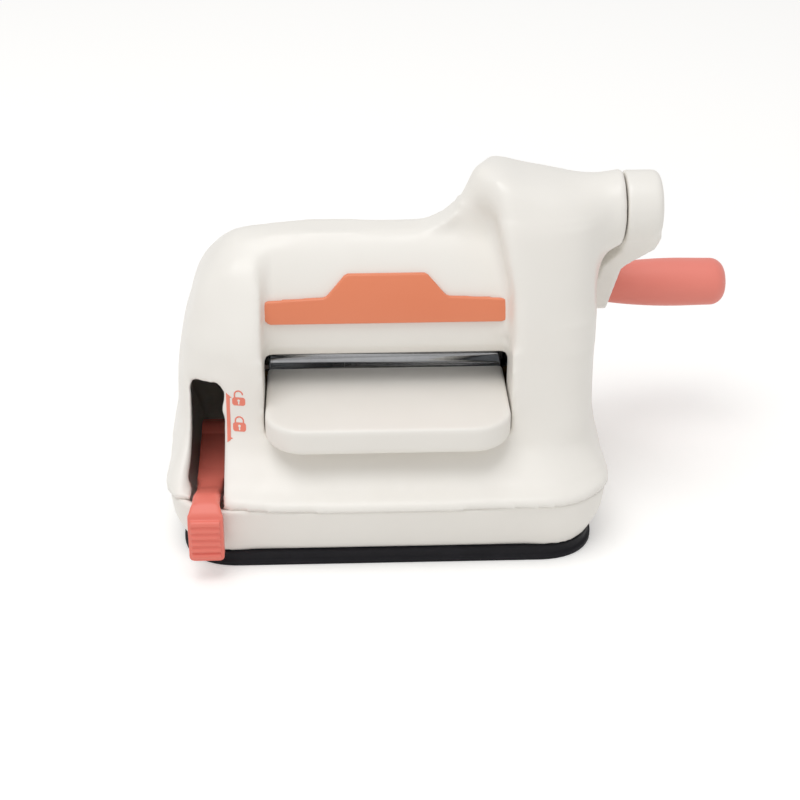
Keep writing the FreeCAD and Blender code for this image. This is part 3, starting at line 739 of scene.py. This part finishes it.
# studio: pale floor, soft light from above and in front, camera where the photographer stood
studio = dict(floorSize=6.0, floorColour="#f4f3f1", lift=0.22, sky=0.62)


def floorPaper(setting):
    # matt paper sweep, lifted to white only where the camera or a mirror finish looks at it
    material = newMaterial("palePaper")
    path = addNode(material, "ShaderNodeLightPath")
    seen = addNode(
        material, "ShaderNodeMath", {}, {0: path.outputs["Is Camera Ray"], 1: path.outputs["Is Glossy Ray"]},
        operation="MAXIMUM",
    )
    seenToo = addNode(
        material, "ShaderNodeMath", {}, {0: seen.outputs[0], 1: path.outputs["Is Transmission Ray"]},
        operation="MAXIMUM",
    )
    strength = addNode(
        material, "ShaderNodeMath", {1: setting["lift"]}, {0: seenToo.outputs[0]}, operation="MULTIPLY"
    )
    paper = addNode(material, "ShaderNodeBsdfDiffuse", {"Color": linear(setting["floorColour"])})
    glow = addNode(material, "ShaderNodeEmission", {"Color": (1, 1, 1, 1)}, {"Strength": strength.outputs[0]})
    both = addNode(material, "ShaderNodeAddShader", {}, {0: paper.outputs[0], 1: glow.outputs[0]})
    addNode(material, "ShaderNodeOutputMaterial", {}, {"Surface": both.outputs[0]})
    return material


deselectAll()
bpy.ops.mesh.primitive_plane_add(size=studio["floorSize"], location=(0, 0, 0))
floor = bpy.context.object
floor.name = "paperFloor"
floor.data.materials.append(floorPaper(studio))

sky = bpy.data.worlds.new("studioSky")
sky.use_nodes = True
skyNode = sky.node_tree.nodes["Background"]
skyNode.inputs["Color"].default_value = (1, 1, 1, 1)
skyNode.inputs["Strength"].default_value = studio["sky"]
bpy.context.scene.world = sky

lamps = {
    "overheadSoftbox": dict(place=(-0.2, -0.2, 1.1), aim=(0, 0, 0.05), size=0.7, power=4.9),
    "frontFill": dict(place=(-0.5, -1.1, 0.55), aim=(0, 0, 0.06), size=0.6, power=0.8),
}
for lampName, lamp in lamps.items():
    bpy.ops.object.light_add(type="AREA", location=lamp["place"])
    light = bpy.context.object
    light.name = lampName
    light.data.size = lamp["size"]
    light.data.energy = lamp["power"]
    light.rotation_mode = "QUATERNION"
    light.rotation_quaternion = (Vector(lamp["aim"]) - Vector(lamp["place"])).to_track_quat("-Z", "Y")

viewpoint = dict(
    aim=(0, 0, 0.055), distance=0.5444, yaw=-1.93, rise=28.0, lens=76.5, shiftX=0.0195, shiftY=-0.0879
)
yaw = math.radians(viewpoint["yaw"])
rise = math.radians(viewpoint["rise"])
back = Vector((math.sin(yaw) * math.cos(rise), -math.cos(yaw) * math.cos(rise), math.sin(rise)))
bpy.ops.object.camera_add(location=Vector(viewpoint["aim"]) + back * viewpoint["distance"])
camera = bpy.context.object
camera.rotation_mode = "QUATERNION"
camera.rotation_quaternion = (-back).to_track_quat("-Z", "Y")
camera.data.lens = viewpoint["lens"]
camera.data.sensor_width = 36
camera.data.shift_x = viewpoint["shiftX"]
camera.data.shift_y = viewpoint["shiftY"]
camera.data.clip_start = 0.01
bpy.context.scene.camera = camera
bpy.context.scene.view_settings.view_transform = "Standard"
print("studio ready")
